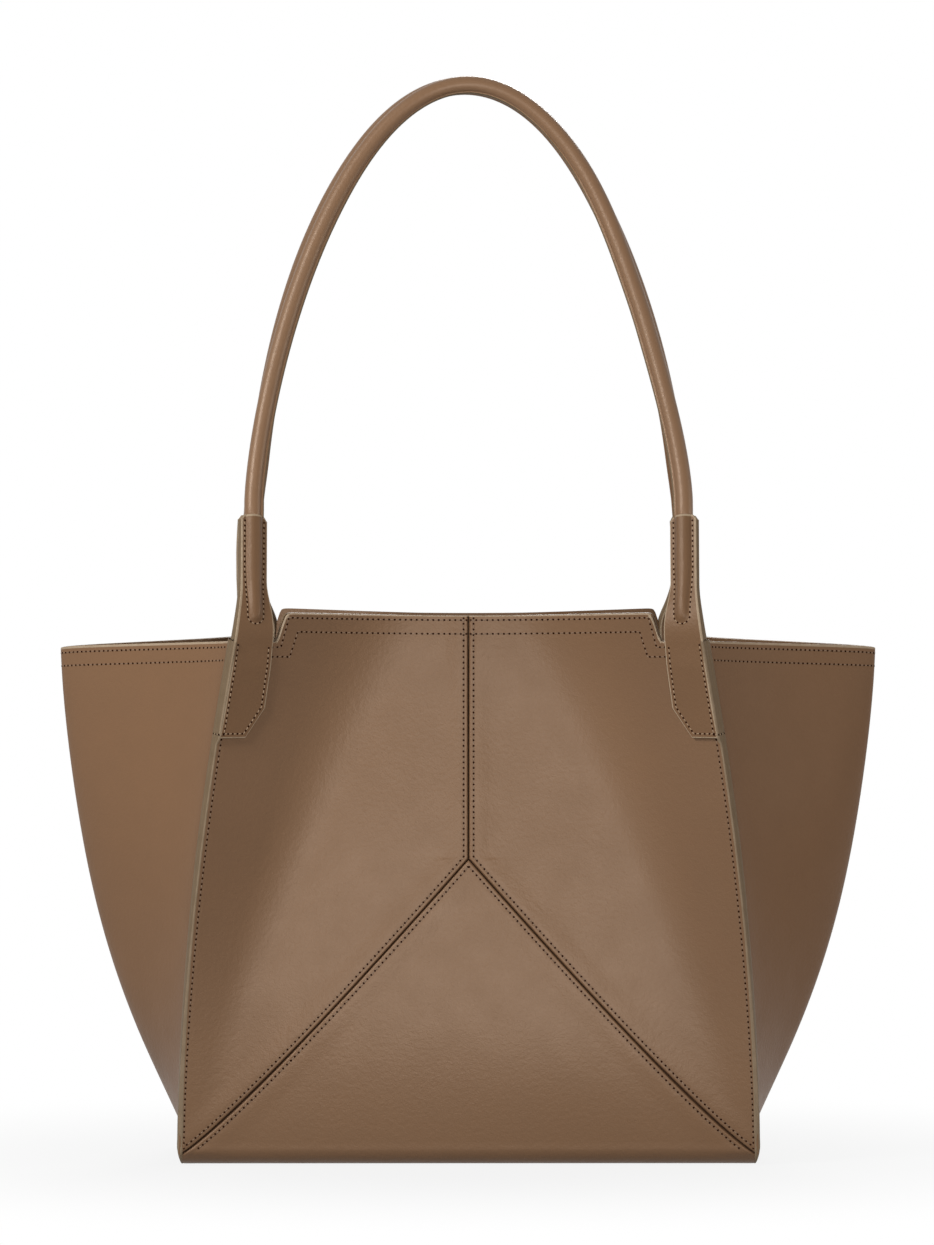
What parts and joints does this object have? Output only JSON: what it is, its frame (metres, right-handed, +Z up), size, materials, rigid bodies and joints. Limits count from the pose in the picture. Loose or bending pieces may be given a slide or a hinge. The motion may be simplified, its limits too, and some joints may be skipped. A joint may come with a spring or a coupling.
{
  "type": "tote bag",
  "caption": "Open leather tote bag with a forked front seam, wide wing-like side gussets and rolled handles that swing down from stitched tabs.",
  "frame": {"origin": "on the floor under the middle of the base", "axes": "+Z up, -Y towards the front, +X to the right seen from the front"},
  "size_m": [0.446, 0.1868, 0.5904],
  "materials": {
    "body_leather": "smooth fine-grained calf, soft satin sheen",
    "tab_leather": "smooth calf, soft satin sheen",
    "handle_leather": "smooth rolled calf, soft satin sheen",
    "edge_paint": "painted cut edge, matte",
    "lining": "matte woven lining",
    "board": "matte board",
    "cord": "cotton filler cord"
  },
  "bodies": {
    "bag_body": {"front_left_panel": "body_leather", "front_right_panel": "body_leather", "back_left_panel": "body_leather", "back_right_panel": "body_leather", "base_wrap": "body_leather", "left_gusset": "body_leather", "right_gusset": "body_leather", "base_board": "board", "base_lining": "lining", "front_lining": "lining", "back_lining": "lining", "left_gusset_lining": "lining", "right_gusset_lining": "lining", "front_hem_facing": "tab_leather", "back_hem_facing": "tab_leather", "left_gusset_facing": "tab_leather", "right_gusset_facing": "tab_leather", "left_seam_welt": "edge_paint", "right_seam_welt": "edge_paint", "front_left_tab": "tab_leather", "front_left_inner_tab": "tab_leather", "front_right_tab": "tab_leather", "front_right_inner_tab": "tab_leather", "back_left_tab": "tab_leather", "back_left_inner_tab": "tab_leather", "back_right_tab": "tab_leather", "back_right_inner_tab": "tab_leather"},
    "front_handle": {"front_handle_cover": "handle_leather", "front_handle_core": "cord", "front_left_sleeve": "tab_leather", "front_left_inner_sleeve": "tab_leather", "front_right_sleeve": "tab_leather", "front_right_inner_sleeve": "tab_leather"},
    "back_handle": {"back_handle_cover": "handle_leather", "back_handle_core": "cord", "back_left_sleeve": "tab_leather", "back_left_inner_sleeve": "tab_leather", "back_right_sleeve": "tab_leather", "back_right_inner_sleeve": "tab_leather"}
  },
  "joints": [
    {"name": "front_handle_swing", "type": "hinge", "parent": "bag_body", "child": "front_handle", "pos_m": [0, -0.09358, 0.28215], "axis": [1, 0, 0], "range_deg": [0, 150]},
    {"name": "back_handle_swing", "type": "hinge", "parent": "bag_body", "child": "back_handle", "pos_m": [0, 0.09358, 0.28215], "axis": [-1, 0, 0], "range_deg": [0, 150]}
  ]
}
